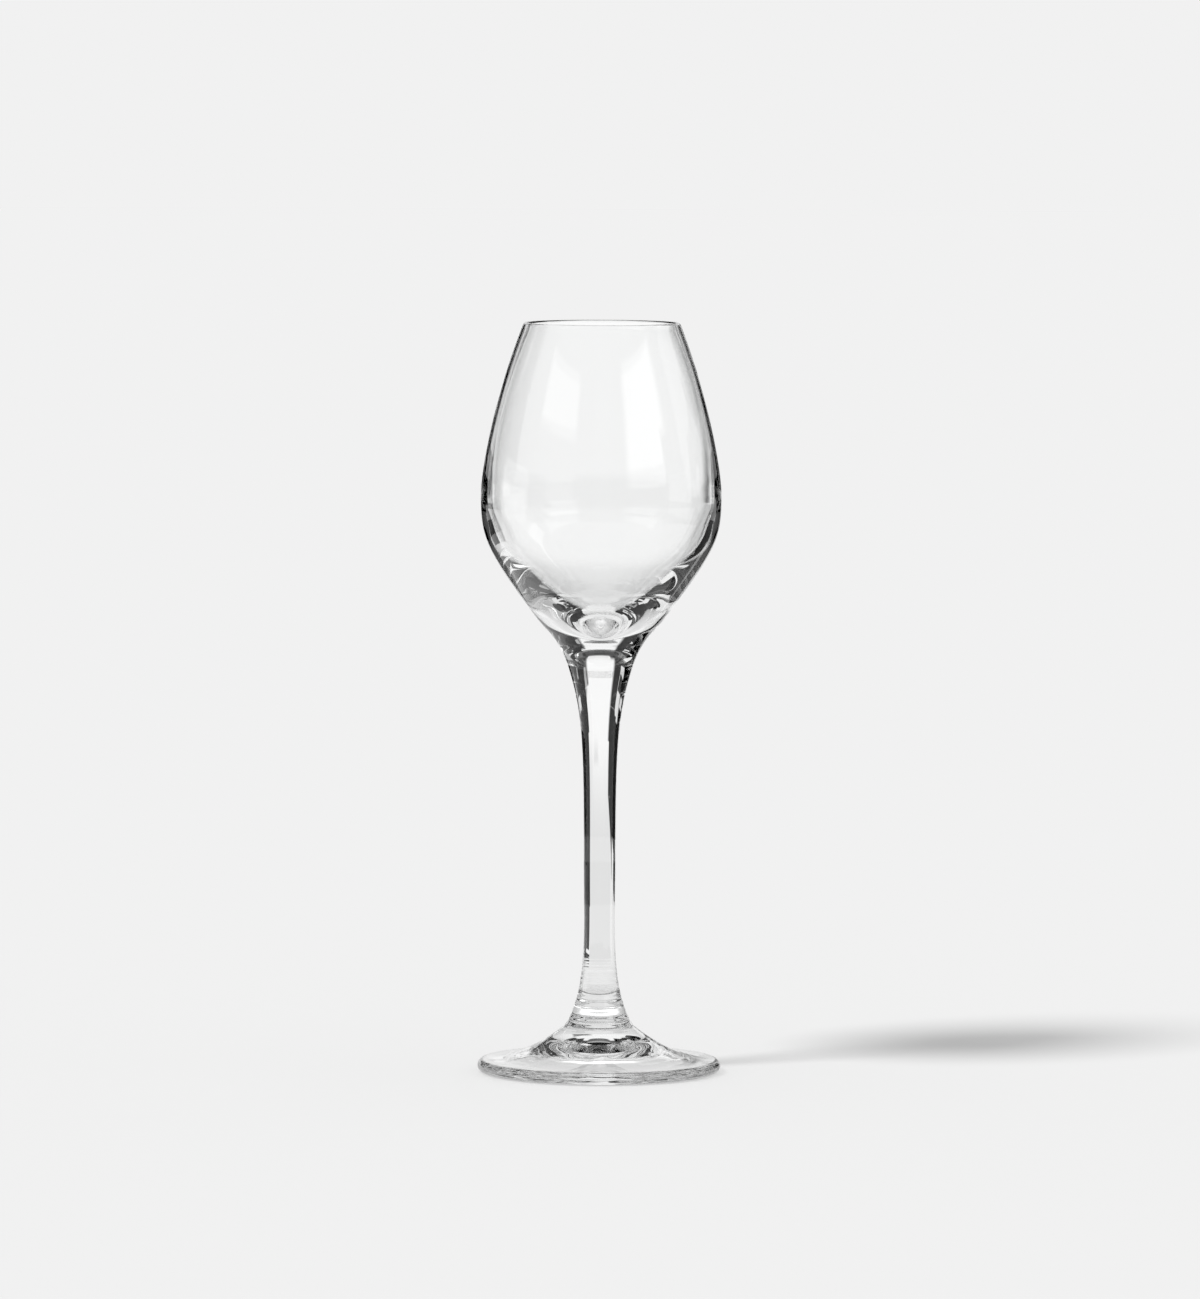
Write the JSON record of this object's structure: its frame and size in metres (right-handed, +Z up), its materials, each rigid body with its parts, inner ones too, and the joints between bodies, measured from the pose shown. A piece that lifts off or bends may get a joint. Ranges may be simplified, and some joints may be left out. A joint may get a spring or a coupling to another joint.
{
  "type": "liqueur glass",
  "caption": "Clear stemmed liqueur glass: tulip-shaped bowl with a thick base, slender drawn stem and a domed round foot.",
  "frame": {"origin": "centre of the foot, on the surface that the glass stands on", "axes": "+Z up along the axis of the stem, towards the rim; X and Y are any two horizontal directions, as the glass is round"},
  "size_m": [0.0584, 0.0584, 0.18],
  "materials": {
    "clear_glass": "clear, colourless, fire-polished"
  },
  "bodies": {
    "root": {"bowl": "clear_glass", "stem": "clear_glass", "foot": "clear_glass"}
  },
  "joints": []
}
